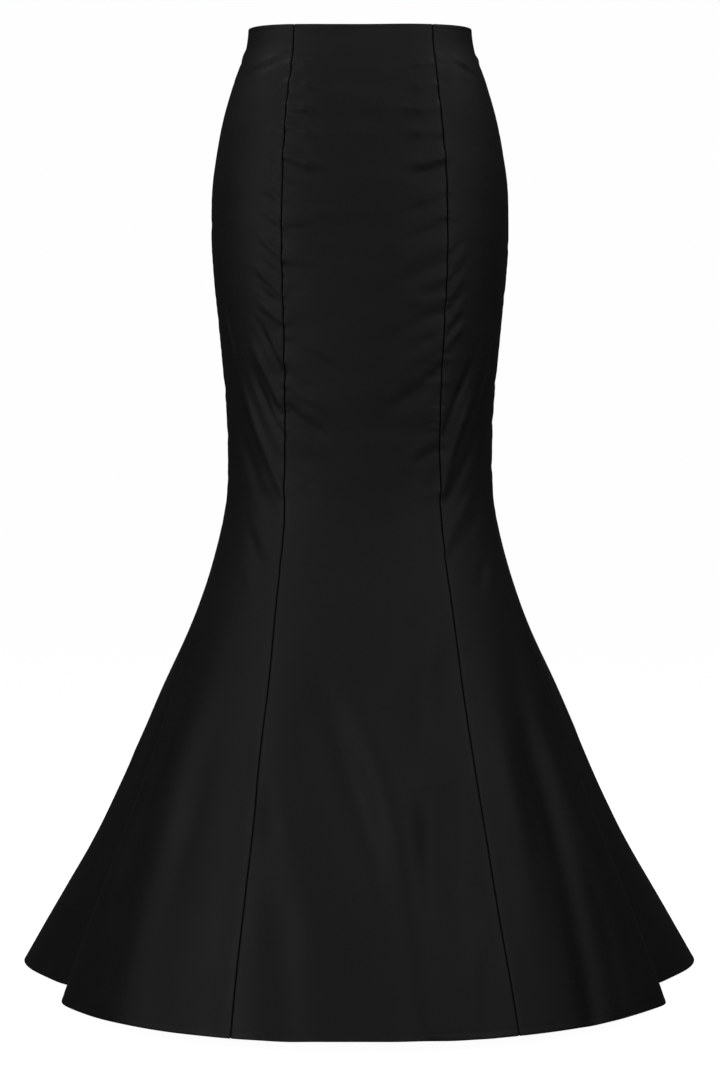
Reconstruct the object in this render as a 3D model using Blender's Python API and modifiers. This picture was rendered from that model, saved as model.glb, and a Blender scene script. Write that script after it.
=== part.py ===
"""Mermaid fishtail skirt: seven gores with princess seams, and a concealed zip at the centre back.

Metres, +Z up. The origin is the middle of the waist, which is where the wearer holds the skirt. The front
faces -Y and +X is on the right of somebody who looks at the front. A place on the cloth is given by its
bearing, in degrees from the centre front and positive towards +X, and by its drop below the waist.
"""

import math
from collections import namedtuple

import bmesh
import bpy
from mathutils import Matrix, Vector

# Driving dimensions of the cloth
LENGTH = 1.081          # side seam, waist to hem
KNEE = 0.490            # drop from which the flare grows, at the narrowest section
WALL = 0.0015           # thickness of the cloth wall
SEAM_GAP = 0.0003       # clearance between neighbouring gores
WAIST_DIP = 0.0125      # how much lower the waist edge is at the centre front
DIP_FADES = 0.20        # drop at which the rows are level again
FITTED_ROW = 0.0245     # spacing of the rows down to the start of the flare
FITTED_END = 0.539      # where the wider spacing starts
FLARE_ROWS = 11         # rows of the flare

# The fitted part: a rounded section for each level, with a fuller back than front
Section = namedtuple("Section", "drop half_width front_depth back_depth squareness")
SECTIONS = (
    Section(0.000, 0.1251, 0.0890, 0.0890, 2.05),
    Section(0.014, 0.1255, 0.0915, 0.0920, 2.05),
    Section(0.034, 0.1323, 0.0955, 0.0985, 2.08),
    Section(0.057, 0.1401, 0.0998, 0.1065, 2.12),
    Section(0.079, 0.1469, 0.1032, 0.1140, 2.15),
    Section(0.102, 0.1531, 0.1062, 0.1212, 2.18),
    Section(0.147, 0.1616, 0.1100, 0.1318, 2.20),
    Section(0.192, 0.1665, 0.1122, 0.1370, 2.22),
    Section(0.237, 0.1667, 0.1132, 0.1365, 2.22),
    Section(0.283, 0.1639, 0.1132, 0.1305, 2.22),
    Section(0.328, 0.1593, 0.1122, 0.1230, 2.20),
    Section(0.373, 0.1548, 0.1106, 0.1160, 2.18),
    Section(0.418, 0.1508, 0.1088, 0.1105, 2.15),
    Section(0.463, 0.1486, 0.1074, 0.1075, 2.12),
    Section(0.500, 0.1481, 0.1070, 0.1070, 2.10),
)

# The hem seen from above: how far it reaches from the axis at each bearing, on either side
Reach = namedtuple("Reach", "bearing left right")
HEM = (
    Reach(0, 0.2970, 0.2970),
    Reach(19, 0.3070, 0.3075),
    Reach(31, 0.3125, 0.3130),
    Reach(50, 0.3240, 0.3250),
    Reach(64, 0.3330, 0.3360),
    Reach(75, 0.3390, 0.3470),
    Reach(85, 0.3020, 0.3030),
    Reach(94, 0.3430, 0.3420),
    Reach(102, 0.3790, 0.3770),
    Reach(112, 0.4345, 0.4325),
    Reach(122, 0.4600, 0.4590),
    Reach(135, 0.4360, 0.4340),
    Reach(147, 0.3950, 0.3960),
    Reach(160, 0.4080, 0.4090),
    Reach(172, 0.3920, 0.3925),
    Reach(180, 0.3860, 0.3860),
)

# How much of its reach at the hem the flare has gained at each drop
Growth = namedtuple("Growth", "drop front back")
FLARE = (
    Growth(0.490, 0.000, 0.000),
    Growth(0.522, 0.007, 0.008),
    Growth(0.554, 0.032, 0.034),
    Growth(0.598, 0.093, 0.092),
    Growth(0.644, 0.176, 0.166),
    Growth(0.737, 0.337, 0.338),
    Growth(0.832, 0.512, 0.494),
    Growth(0.929, 0.708, 0.675),
    Growth(1.003, 0.858, 0.835),
    Growth(1.081, 1.000, 1.000),
)
FRONT_ENDS = 75         # bearing up to which the flare grows as the front does
BACK_STARTS = 92        # bearing from which it grows as the back does

# Bearings of the seams, from the waist to the hem
Seams = namedtuple("Seams", "drop front_left front_right side back")
SEAMS = (
    Seams(0.000, 44.6, 49.0, 90.0, 136.0),
    Seams(0.064, 41.0, 45.3, 90.0, 139.0),
    Seams(0.105, 40.7, 44.3, 90.0, 140.0),
    Seams(0.190, 40.1, 44.7, 90.0, 141.0),
    Seams(0.300, 40.1, 44.6, 90.0, 141.0),
    Seams(0.378, 40.6, 44.2, 90.0, 140.0),
    Seams(0.440, 41.4, 44.3, 90.0, 139.0),
    Seams(0.502, 42.0, 44.7, 89.8, 138.0),
    Seams(0.552, 40.4, 43.5, 89.3, 138.0),
    Seams(0.598, 38.3, 41.4, 88.6, 139.0),
    Seams(0.652, 35.6, 39.2, 87.8, 140.5),
    Seams(0.700, 33.6, 37.5, 87.2, 141.5),
    Seams(0.793, 30.9, 35.2, 86.2, 143.5),
    Seams(0.900, 28.2, 33.2, 85.4, 145.5),
    Seams(0.989, 26.5, 31.8, 85.1, 146.5),
    Seams(1.081, 25.1, 31.2, 85.0, 147.0),
)

# The gores: the seams beside each, and where its columns stand across it, closer together round a flute
Gore = namedtuple("Gore", "name starts ends columns")
PLAIN_10 = tuple(i / 10 for i in range(11))
PLAIN_5 = tuple(i / 5 for i in range(6))
TO_SIDE_SEAM = (0, 0.15, 0.30, 0.44, 0.57, 0.69, 0.79, 0.88, 0.94, 1)
TO_BACK_SEAM = (0, 0.06, 0.13, 0.23, 0.34, 0.46, 0.58, 0.70, 0.84, 1)
GORES = (
    Gore("centre_front", ("front_left", -1), ("front_right", 1), PLAIN_10),
    Gore("side_front_right", ("front_right", 1), ("side", 1), TO_SIDE_SEAM),
    Gore("side_back_right", ("side", 1), ("back", 1), TO_BACK_SEAM),
    Gore("centre_back_right", ("centre_back", 1), ("back", 1), PLAIN_5),
    Gore("centre_back_left", ("centre_back", -1), ("back", -1), PLAIN_5),
    Gore("side_back_left", ("side", -1), ("back", -1), TO_BACK_SEAM),
    Gore("side_front_left", ("front_left", -1), ("side", -1), TO_SIDE_SEAM),
)

BESIDE_SEAM = 3.6       # degrees from a seam at which the turn of the cloth is taken

# The concealed zip. Depths are measured outwards from the middle of the cloth wall.
ZIP_TOP = 0.0150        # drop of the hinge of the pull tab
ZIP_END = 0.200         # drop of the closed end
TAPE_TOP = 0.0030
TAPE_WIDTH = 0.0110
TAPE_WALL = 0.0010
TAPE_DEPTH = -0.0016    # middle of the tapes, just inside the cloth
COIL_TOP = 0.0230
COIL_WIDTH = 0.0040
COIL_THICK = 0.0024
COIL_DEPTH = -0.0024
COIL_GAP = 0.0004       # clearance between coil and tapes
NOTCH_HALF = 0.0014     # how far each back gore stands off the slider's neck
NOTCH_FROM = 0.0205     # the gores meet again between these two drops
NOTCH_TO = 0.0330
NECK_HALF = 0.0010
BODY_SIZE = (0.0068, 0.0024, 0.0110)
BODY_DEPTH = -0.0046
ARCH_HALF = 0.0026      # half the height of the slider's arch
ARCH_EYE = 0.0016       # half the height of the hole in it
ARCH_FOOT = 0.0011      # depth where the hole starts
ARCH_HEAD = 0.0037      # and where it ends
ARCH_TOP = 0.0047
HINGE_DEPTH = 0.0024    # the pull tab's crossbar, in the middle of the hole
TAB_THICK = 0.0012
TAB_BAR = 0.0006        # half the height of the crossbar
TAB_EYE = (0.0016, 0.0052)      # half width and end of the tab's own hole
TAB_LENGTH = 0.0240
TAB_SHOULDER = 0.0027
TAB_BELLY = 0.0037      # half width of the drop-shaped end


def eased(table, column, at):
    """A column of a table at any place, along a smooth curve that never overshoots its rows."""
    places = [row[0] for row in table]
    values = [getattr(row, column) for row in table]
    if at <= places[0]:
        return values[0]
    if at >= places[-1]:
        return values[-1]
    slopes = [(values[i + 1] - values[i]) / (places[i + 1] - places[i]) for i in range(len(table) - 1)]

    def tangent(i):
        if i in (0, len(table) - 1):
            return 0.0 if table in (HEM, FLARE) and i == 0 else slopes[min(i, len(slopes) - 1)]
        if slopes[i - 1] * slopes[i] <= 0:
            return 0.0
        return 2 * slopes[i - 1] * slopes[i] / (slopes[i - 1] + slopes[i])

    i = max(k for k in range(len(table) - 1) if places[k] <= at)
    span = places[i + 1] - places[i]
    t = (at - places[i]) / span
    return (values[i] * (1 + 2 * t) * (1 - t) ** 2 + values[i + 1] * t * t * (3 - 2 * t)
            + span * (tangent(i) * t * (1 - t) ** 2 - tangent(i + 1) * t * t * (1 - t)))


def fitted_reach(bearing, drop):
    """Distance from the axis to a rounded section that is wider than it is deep."""
    side = abs(math.sin(math.radians(bearing)))
    fore = abs(math.cos(math.radians(bearing)))
    depth = "front_depth" if abs(bearing) < 90 else "back_depth"
    power = eased(SECTIONS, "squareness", drop)
    across = (side / eased(SECTIONS, "half_width", drop)) ** power
    along = (fore / eased(SECTIONS, depth, drop)) ** power
    return (across + along) ** (-1 / power)


def reach(bearing, drop):
    """Distance from the axis to the cloth."""
    fitted = fitted_reach(bearing, drop)
    if drop <= KNEE:
        return fitted
    turn = min(max((abs(bearing) - FRONT_ENDS) / (BACK_STARTS - FRONT_ENDS), 0), 1)
    turn = turn * turn * (3 - 2 * turn)
    share = (1 - turn) * eased(FLARE, "front", drop) + turn * eased(FLARE, "back", drop)
    hem = eased(HEM, "right" if bearing >= 0 else "left", abs(bearing))
    return fitted + share * (hem - fitted)


def on_cloth(bearing, drop):
    """A point in the middle of the cloth wall."""
    distance = reach(bearing, drop)
    angle = math.radians(bearing)
    lowered = WAIST_DIP * max(math.cos(angle), 0) * max(1 - drop / DIP_FADES, 0) ** 2
    return Vector((distance * math.sin(angle), -distance * math.cos(angle), -drop - lowered))


def seam_bearing(seam, drop):
    name, side = seam
    return side * (180 if name == "centre_back" else eased(SEAMS, name, drop))


def rows():
    """Drops of the rows: close together where the skirt is fitted, wider down the flare."""
    count = round(FITTED_END / FITTED_ROW)
    fitted = [FITTED_END * i / count for i in range(count)]
    return fitted + [FITTED_END + (LENGTH - FITTED_END) * i / FLARE_ROWS for i in range(FLARE_ROWS + 1)]


def material(name, colour, roughness, metallic=0.0):
    made = bpy.data.materials.new(name)
    made.use_nodes = True
    shader = made.node_tree.nodes["Principled BSDF"]
    shader.inputs["Base Color"].default_value = (*colour, 1)
    shader.inputs["Roughness"].default_value = roughness
    shader.inputs["Metallic"].default_value = metallic
    return made


def add_object(name, shape, finish):
    """Turns a bmesh into a named object of the skirt."""
    shape.normal_update()
    mesh = bpy.data.meshes.new(name)
    shape.to_mesh(mesh)
    shape.free()
    made = bpy.data.objects.new(name, mesh)
    mesh.materials.append(finish)
    skirt.objects.link(made)
    return made


def add_wall(name, columns, finish, thickness):
    """A cloth wall: a grid laid on columns of points that run down the skirt, then thickened."""
    shape = bmesh.new()
    bmesh.ops.create_grid(shape, x_segments=len(columns) - 1, y_segments=len(columns[0]) - 1, size=1)
    shape.verts.ensure_lookup_table()
    for j in range(len(columns[0])):
        for i, column in enumerate(columns):
            shape.verts[j * len(columns) + i].co = column[j]
    middle = shape.faces[:][len(shape.faces) // 2]
    middle.normal_update()
    outward = Vector((*middle.calc_center_median().xy, 0))
    if middle.normal.dot(outward) < 0:
        bmesh.ops.reverse_faces(shape, faces=shape.faces[:])
    made = add_object(name, shape, finish)
    solidify = made.modifiers.new("wall", "SOLIDIFY")
    solidify.thickness = thickness
    solidify.offset = 0
    solidify.use_even_offset = True
    return made


def drawn_back(seam, drop):
    """How far a gore's edge stands off a seam: half the gap, and more where the cloth turns sharply."""
    if seam[0] == "centre_back":
        closed = min(max((drop - NOTCH_FROM) / (NOTCH_TO - NOTCH_FROM), 0), 1)
        return NOTCH_HALF + (SEAM_GAP / 2 - NOTCH_HALF) * closed
    bearing = seam_bearing(seam, drop)
    before, here, after = (on_cloth(bearing + step, drop) for step in (-BESIDE_SEAM, 0, BESIDE_SEAM))
    turn = (here - before).angle(after - here)
    return SEAM_GAP / 2 + WALL / 2 * math.tan(turn / 2)


def add_gore(gore, finish):
    """One gore: columns of points between its two seams, drawn back at both."""
    columns = [[] for _ in gore.columns]
    for drop in rows():
        first = seam_bearing(gore.starts, drop)
        last = seam_bearing(gore.ends, drop)
        across = [on_cloth(first + (last - first) * share, drop) for share in gore.columns]
        across[0] += (across[1] - across[0]).normalized() * drawn_back(gore.starts, drop)
        across[-1] += (across[-2] - across[-1]).normalized() * drawn_back(gore.ends, drop)
        for column, point in zip(columns, across):
            column.append(point)
    add_wall(gore.name, columns, finish, WALL)


def between_rows(bearing_at, drop):
    """A point on the faceted cloth, which is straight from one row to the next, and the way down there."""
    levels = rows()
    i = max(k for k in range(len(levels) - 1) if levels[k] <= drop)
    upper, lower = (on_cloth(bearing_at(level), level) for level in levels[i:i + 2])
    return upper.lerp(lower, (drop - levels[i]) / (levels[i + 1] - levels[i])), (lower - upper).normalized()


def centre_back(drop):
    """The centre-back line: a point on it, the way down it and the way out of it."""
    here, down = between_rows(lambda level: 180, drop)
    return here, down, Vector((1, 0, 0)).cross(down)


def beside_zip(side, drop):
    """The first strip of cloth beside the zip: the way across it and the way out of it."""
    here, down, _ = centre_back(drop)
    first = PLAIN_5[1]
    there, _ = between_rows(lambda level: side * (180 - first * (180 - eased(SEAMS, "back", level))), drop)
    across = (there - here).normalized()
    return across, side * across.cross(down).normalized()


def zip_drops(top):
    """Drops for a strip of the zip, from its top to the closed end, in step with the rows."""
    return [top] + [level for level in rows() if top + 0.004 < level < ZIP_END - 0.004] + [ZIP_END]


def add_tape(side, finish):
    """A flat woven tape beside the coil, just inside the cloth of the centre-back gore."""
    inner = COIL_WIDTH / 2 + COIL_GAP
    columns = [[], []]
    for drop in zip_drops(TAPE_TOP):
        here, _, _ = centre_back(drop)
        across, outward = beside_zip(side, drop)
        for column, place in zip(columns, (inner, inner + TAPE_WIDTH)):
            column.append(here + across * place + outward * TAPE_DEPTH)
    add_wall("zip_tape_right" if side > 0 else "zip_tape_left", columns, finish, TAPE_WALL)


def add_coil(finish):
    """The closed coil, as the plain bar of its outer shape."""
    columns = [[], []]
    for drop in zip_drops(COIL_TOP):
        here, _, outward = centre_back(drop)
        for column, place in zip(columns, (-COIL_WIDTH / 2, COIL_WIDTH / 2)):
            column.append(here + Vector((place, 0, 0)) + outward * COIL_DEPTH)
    add_wall("zip_coil", columns, finish, COIL_THICK)


def zip_frame():
    """Axes at the hinge of the pull tab: across, up along the closed zip, and out of it."""
    upper, _, _ = centre_back(ZIP_TOP)
    lower, _, _ = centre_back(ZIP_TOP + TAB_LENGTH)
    up = (upper - lower).normalized()
    outward = up.cross(Vector((1, 0, 0)))
    turn = Matrix((Vector((1, 0, 0)), outward, up)).transposed()
    return Matrix.Translation(upper) @ turn.to_4x4()


def prism(outlines, thickness, facing):
    """A flat outline, with any holes, given a thickness and laid in the plane that facing names."""
    curve = bpy.data.curves.new("outline", "CURVE")
    curve.dimensions = "2D"
    curve.fill_mode = "BOTH"
    curve.extrude = thickness / 2
    for outline in outlines:
        spline = curve.splines.new("POLY")
        spline.points.add(len(outline) - 1)
        for point, (x, y) in zip(spline.points, outline):
            point.co = (x, y, 0, 1)
        spline.use_cyclic_u = True
    flat = bpy.data.objects.new("outline", curve)
    skirt.objects.link(flat)
    bpy.context.view_layer.update()
    solid = bpy.data.meshes.new_from_object(flat.evaluated_get(bpy.context.evaluated_depsgraph_get()))
    bpy.data.objects.remove(flat)
    shape = bmesh.new()
    shape.from_mesh(solid)
    bmesh.ops.remove_doubles(shape, verts=shape.verts, dist=1e-6)
    bmesh.ops.transform(shape, matrix=facing, verts=shape.verts)
    bmesh.ops.recalc_face_normals(shape, faces=shape.faces)
    return shape


def box_outline(left, right, low, high):
    return [(left, low), (right, low), (right, high), (left, high)]


def add_slider(finish):
    """The slider: a body on the coil, a neck through the seam, and an arch that holds the pull tab."""
    body_top = BODY_DEPTH + BODY_SIZE[1] / 2
    profile = box_outline(body_top - 0.0004, ARCH_TOP, -ARCH_HALF, ARCH_HALF)
    eye = box_outline(ARCH_FOOT, ARCH_HEAD, -ARCH_EYE, ARCH_EYE)
    sideways = Matrix(((0, 0, 1, 0), (1, 0, 0, 0), (0, 1, 0, 0), (0, 0, 0, 1)))
    shape = prism([profile, eye], 2 * NECK_HALF, zip_frame() @ sideways)
    arch = add_object("zip_slider", shape, finish)
    block = bmesh.new()
    place = Matrix.Translation((0, BODY_DEPTH, 0)) @ Matrix.Diagonal((*BODY_SIZE, 1))
    bmesh.ops.create_cube(block, size=1, matrix=zip_frame() @ place)
    body = add_object("slider_body", block, finish)
    skirt.objects.unlink(body)
    cutters.objects.link(body)
    body.hide_render = True
    body.display_type = "WIRE"
    union = arch.modifiers.new("body", "BOOLEAN")
    union.operation = "UNION"
    union.object = body


def add_pull_tab(finish):
    """The pull tab: a drop-shaped plate that hangs by its crossbar in the slider's arch."""
    hole_half, hole_end = TAB_EYE
    belly_at = TAB_LENGTH - TAB_BELLY
    half = [(TAB_SHOULDER, TAB_BAR), (TAB_SHOULDER, -hole_end)]
    for step in range(9):
        angle = math.radians(90 - step * 90 / 8)
        half.append((TAB_BELLY * math.sin(angle), -belly_at - TAB_BELLY * math.cos(angle)))
    outline = half + [(-x, y) for x, y in reversed(half[:-1])]
    hole = box_outline(-hole_half, hole_half, -hole_end, -TAB_BAR)
    upright = Matrix(((1, 0, 0, 0), (0, 0, -1, 0), (0, 1, 0, 0), (0, 0, 0, 1)))
    hinge = bpy.data.objects.new("pull_tab_hinge", None)
    hinge.matrix_world = zip_frame() @ Matrix.Translation((0, HINGE_DEPTH, 0))
    skirt.objects.link(hinge)
    tab = add_object("zip_pull_tab", prism([outline, hole], TAB_THICK, upright), finish)
    tab.parent = hinge


for leftover in list(bpy.data.objects):
    bpy.data.objects.remove(leftover)
skirt = bpy.data.collections.new("mermaid_fishtail_skirt")
cutters = bpy.data.collections.new("cutters")
for collection in (skirt, cutters):
    bpy.context.scene.collection.children.link(collection)

sateen = material("black_sateen", (0.010, 0.010, 0.011), 0.75)
tape = material("zip_tape", (0.012, 0.012, 0.013), 0.85)
coil = material("zip_coil", (0.015, 0.015, 0.016), 0.45)
metal = material("black_enamelled_metal", (0.010, 0.010, 0.010), 0.35, 0.4)

for gore in GORES:
    add_gore(gore, sateen)
for side in (-1, 1):
    add_tape(side, tape)
add_coil(coil)
add_slider(metal)
add_pull_tab(metal)
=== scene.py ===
import math
import random
from collections import Counter, namedtuple

import bmesh
import bpy
import numpy as np
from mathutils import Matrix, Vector, noise
from mathutils.bvhtree import BVHTree
from mathutils.kdtree import KDTree


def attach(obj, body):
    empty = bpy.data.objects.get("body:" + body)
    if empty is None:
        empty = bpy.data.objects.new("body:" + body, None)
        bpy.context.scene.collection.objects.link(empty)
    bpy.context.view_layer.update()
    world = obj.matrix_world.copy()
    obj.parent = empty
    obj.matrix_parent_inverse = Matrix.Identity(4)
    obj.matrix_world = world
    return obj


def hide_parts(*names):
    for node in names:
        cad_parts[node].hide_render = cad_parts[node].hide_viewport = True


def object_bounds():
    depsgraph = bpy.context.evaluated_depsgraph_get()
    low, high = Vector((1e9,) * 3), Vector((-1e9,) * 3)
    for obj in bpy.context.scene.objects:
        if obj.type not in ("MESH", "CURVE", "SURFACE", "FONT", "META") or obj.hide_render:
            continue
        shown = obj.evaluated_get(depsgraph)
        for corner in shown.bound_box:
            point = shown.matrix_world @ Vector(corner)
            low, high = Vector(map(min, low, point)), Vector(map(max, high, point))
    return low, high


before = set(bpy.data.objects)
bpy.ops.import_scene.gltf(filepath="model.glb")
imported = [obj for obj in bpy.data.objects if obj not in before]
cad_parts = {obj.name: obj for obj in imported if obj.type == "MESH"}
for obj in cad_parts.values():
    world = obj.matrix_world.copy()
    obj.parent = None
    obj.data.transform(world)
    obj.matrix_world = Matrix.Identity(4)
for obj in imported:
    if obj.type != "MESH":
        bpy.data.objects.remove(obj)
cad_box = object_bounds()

MM = 0.001


# ------------------------ the cloth before it is cut into gores
# One tube of firm black sateen on the outer faces of the seven packed gores, joined along their seams
# and smoothed between their rows, so that folds can be pressed across seams before it is cut apart.

GORES = (
    "centre_front", "side_front_right", "side_back_right", "centre_back_right",
    "centre_back_left", "side_back_left", "side_front_left",
)
RIM = 2.5 * MM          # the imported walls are 1.5 mm thick, so a shorter edge belongs to a rim
SEAM_REACH = 3.5 * MM   # joins the edges of neighbouring gores, which stand up to 2.8 mm apart
FINENESS = 3            # times that each packed facet is halved


def lay_outer_faces(tube, node, number):
    """Copies a gore's outer faces into the tube, with the gore's number as their material index."""
    gore = bmesh.new()
    gore.from_mesh(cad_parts[node].data)
    bmesh.ops.remove_doubles(gore, verts=gore.verts, dist=0.01 * MM)
    hidden = []
    for face in gore.faces:
        middle = face.calc_center_median()
        rim = min(edge.calc_length() for edge in face.edges) < RIM
        if rim or face.normal.x * middle.x + face.normal.y * middle.y < 0:
            hidden.append(face)
        face.material_index = number
    bmesh.ops.delete(gore, geom=hidden, context="FACES")
    mesh = bpy.data.meshes.new("outer_faces")
    gore.to_mesh(mesh)
    gore.free()
    tube.from_mesh(mesh)
    bpy.data.meshes.remove(mesh)


def sew_tube():
    """The tube of four-sided facets, each gore with its own material index."""
    tube = bmesh.new()
    for number, node in enumerate(GORES):
        lay_outer_faces(tube, node, number)
    bmesh.ops.remove_doubles(tube, verts=tube.verts, dist=SEAM_REACH)
    bmesh.ops.join_triangles(
        tube, faces=tube.faces, cmp_materials=True, topology_influence=1.0,
        angle_face_threshold=math.pi, angle_shape_threshold=math.pi)
    bmesh.ops.recalc_face_normals(tube, faces=tube.faces)
    facing = sum(face.normal.xy.dot(face.calc_center_median().xy) for face in tube.faces)
    if facing < 0:
        bmesh.ops.reverse_faces(tube, faces=tube.faces)
    for edge in tube.edges:
        edge.seam = len({face.material_index for face in edge.link_faces}) > 1
    mesh = bpy.data.meshes.new("tube")
    tube.to_mesh(mesh)
    tube.free()
    return placed("tube", mesh)


def placed(name, data):
    """A new object in the scene."""
    made = bpy.data.objects.new(name, data)
    bpy.context.scene.collection.objects.link(made)
    return made


def values_of(items, name, width):
    """A value of each of a mesh's items, one row each."""
    flat = np.zeros(len(items) * width)
    items.foreach_get(name, flat)
    return flat.reshape(-1, width)


def places(mesh):
    return values_of(mesh.vertices, "co", 3)


def set_places(mesh, points):
    mesh.vertices.foreach_set("co", np.ascontiguousarray(points, dtype=np.float32).ravel())
    mesh.update()


def only(obj):
    """Selects one object, and makes it the active one."""
    bpy.ops.object.select_all(action="DESELECT")
    obj.select_set(True)
    bpy.context.view_layer.objects.active = obj


def lay_flat(obj):
    """Unrolls each gore into its flat cut, in metres, with the grain of the cloth along V."""
    only(obj)
    mesh = obj.data
    mesh.uv_layers.new(name="cut")
    bpy.ops.object.mode_set(mode="EDIT")
    bpy.ops.mesh.select_all(action="SELECT")
    bpy.ops.uv.unwrap(method="ANGLE_BASED", margin=0.01)
    bpy.ops.object.mode_set(mode="OBJECT")
    cut = values_of(mesh.uv_layers["cut"].data, "uv", 2)
    height = places(mesh)[[loop.vertex_index for loop in mesh.loops], 2]
    for number in range(len(GORES)):
        faces = [face for face in mesh.polygons if face.material_index == number]
        corners = np.concatenate([list(face.loop_indices) for face in faces])
        flat = cut[corners] - cut[corners].mean(axis=0)
        rise = flat.T @ (height[corners] - height[corners].mean())
        rise = np.linalg.solve(flat.T @ flat, rise)
        up = rise / np.linalg.norm(rise)
        flat = np.stack([flat @ (up[1], -up[0]), flat @ up], axis=1)
        rolled = flat.reshape(-1, 4, 2)
        side, other = rolled[:, 2] - rolled[:, 0], rolled[:, 3] - rolled[:, 1]
        area = np.abs(side[:, 0] * other[:, 1] - side[:, 1] * other[:, 0]).sum() / 2
        flat *= math.sqrt(sum(face.area for face in faces) / area)
        flat[:, 1] -= flat[:, 1].max()
        flat[:, 0] += number
        cut[corners] = flat
    mesh.uv_layers["cut"].data.foreach_set("uv", cut.ravel())


def smooth_through(obj, levels):
    """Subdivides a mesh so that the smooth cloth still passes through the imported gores' corners."""
    smooth = obj.modifiers.new("smooth", "SUBSURF")
    smooth.levels = smooth.render_levels = levels
    wanted = places(obj.data)
    cage = wanted.copy()
    for _ in range(4):
        bpy.context.view_layer.update()
        lying = places(obj.evaluated_get(bpy.context.evaluated_depsgraph_get()).data)
        cage += wanted - lying[:len(wanted)]
        set_places(obj.data, cage)
    only(obj)
    bpy.ops.object.modifier_apply(modifier=smooth.name)


# The finished gores' vertices, in rows and columns. Near an edge they lie at these millimetres from
# it, and in between evenly, with closer rows where the cloth puckers.
BESIDE_SEAM = (1.04, 2.2, 4, 6, 9, 12, 14.5)
BELOW_WAIST = (1.0, 3, 4.4, 5.4, 6.4, 9, 12, 15)
ABOVE_HEM = (1.0, 3, 5, 6.6, 7.6, 8.6, 10, 13)
FITTED = 0.56           # share of the length from the waist to where the flare starts
FITTED_ROWS, FLARE_ROWS = 266, 98
ROW_SHARES = np.concatenate([
    np.linspace(0, FITTED, FITTED_ROWS)[1:], np.linspace(FITTED, 1, FLARE_ROWS)[1:-1]])
HIP_ROW = 120
COLUMN_SPACING = 2.6 * MM       # at the hip row


def rotated(face, first):
    """A facet's corners from another first one on."""
    place = face.index(first)
    return face[place:] + face[:place]


def in_rows(faces):
    """A gore's vertices in rows and columns, from its upper left corner as seen from outside."""
    beside = {}
    uses = Counter()
    for face in faces:
        uses.update(face)
        for i in range(4):
            beside.setdefault(frozenset((face[i - 1], face[i])), []).append(face)

    def past(face, a, b):
        """The facet on the other side of an edge, turned to start at its first corner."""
        others = [other for other in beside[frozenset((a, b))] if set(other) != set(face)]
        return rotated(others[0], a) if others else None

    starts = []
    for face in faces:
        for corner in face:
            turned = rotated(face, corner)
            if uses[corner] == 1 and points[turned[1], 2] < points[turned[3], 2] - 1 * MM:
                starts.append((points[corner, 2], turned))
    first = max(starts)[1]
    rows = []
    while first:
        row = []
        face = first
        while face:
            row.append(face)
            face = past(face, face[3], face[2])
        rows.append(row)
        first = past(first, first[1], first[2])
    grid = [[face[0] for face in row] + [row[-1][3]] for row in rows]
    grid.append([face[1] for face in rows[-1]] + [rows[-1][-1][2]])
    return np.array(grid)


def respaced(grid, near_start, near_end, shares):
    """A grid with its rows moved to set distances, in millimetres, from its first and last row.

    Between those they lie at shares of the way. A grid point is a place, a normal and its cut place."""
    count = len(grid)
    steps = np.linalg.norm(np.diff(grid[:, :, :3], axis=0), axis=2)
    length = np.concatenate([np.zeros((1, grid.shape[1])), np.cumsum(steps, axis=0)])
    at = np.zeros((len(near_start) + len(shares) + len(near_end), grid.shape[1]))
    for c in range(grid.shape[1]):
        start = np.interp(np.array(near_start) * MM, length[:, c], np.arange(count))
        end = np.interp(length[-1, c] - np.array(near_end[::-1]) * MM, length[:, c], np.arange(count))
        middle = start[-1] + (end[0] - start[-1]) * shares
        at[:, c] = np.concatenate([start, middle, end])
    padded = np.concatenate([2 * grid[:1] - grid[1:2], grid, 2 * grid[-1:] - grid[-2:-1]])
    low = np.minimum(at.astype(int), count - 2)
    part = (at - low)[:, :, None]
    a, b, c, d = (np.take_along_axis(padded, (low + i)[:, :, None], axis=0) for i in range(4))
    made = b + part / 2 * (c - a + part * (2 * a - 5 * b + 4 * c - d + part * (3 * (b - c) + d - a)))
    made[:, :, 3:6] /= np.linalg.norm(made[:, :, 3:6], axis=2, keepdims=True)
    return made


def in_grid(mesh, number):
    """A gore's places, normals and cut places in rows from the waist down, closer where it puckers."""
    faces = [face for face in mesh.polygons if face.material_index == number]
    grid = in_rows([tuple(face.vertices) for face in faces])
    cut = np.zeros((len(points), 2))
    for face in faces:
        cut[list(face.vertices)] = cut_of_loops[face.loop_start:face.loop_start + 4]
    grid = np.concatenate([points[grid], outward[grid], cut[grid]], axis=2)
    grid = respaced(grid, (0,) + BELOW_WAIST, (0,) + ABOVE_HEM, ROW_SHARES)
    wide = np.linalg.norm(np.diff(grid[HIP_ROW, :, :3], axis=0), axis=1).sum()
    shares = np.linspace(0, 1, int(wide / COLUMN_SPACING))[1:-1]
    grid = np.swapaxes(grid, 0, 1)
    return np.swapaxes(respaced(grid, (0,) + BESIDE_SEAM, (0,) + BESIDE_SEAM, shares), 0, 1)


tube = sew_tube()
lay_flat(tube)
smooth_through(tube, FINENESS)
surface = BVHTree.FromObject(tube, bpy.context.evaluated_depsgraph_get())
points = places(tube.data)
outward = values_of(tube.data.vertices, "normal", 3)
cut_of_loops = values_of(tube.data.uv_layers["cut"].data, "uv", 2)
grids = [in_grid(tube.data, number) for number in range(len(GORES))]


# ------------------------ folds pressed into the tube by wear
# Sateen that is cut close drags from the hips down to the seams and puckers beside them, and the
# flare hangs in soft troughs. Each fold is a line on the cloth, from one end to the other.

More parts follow.
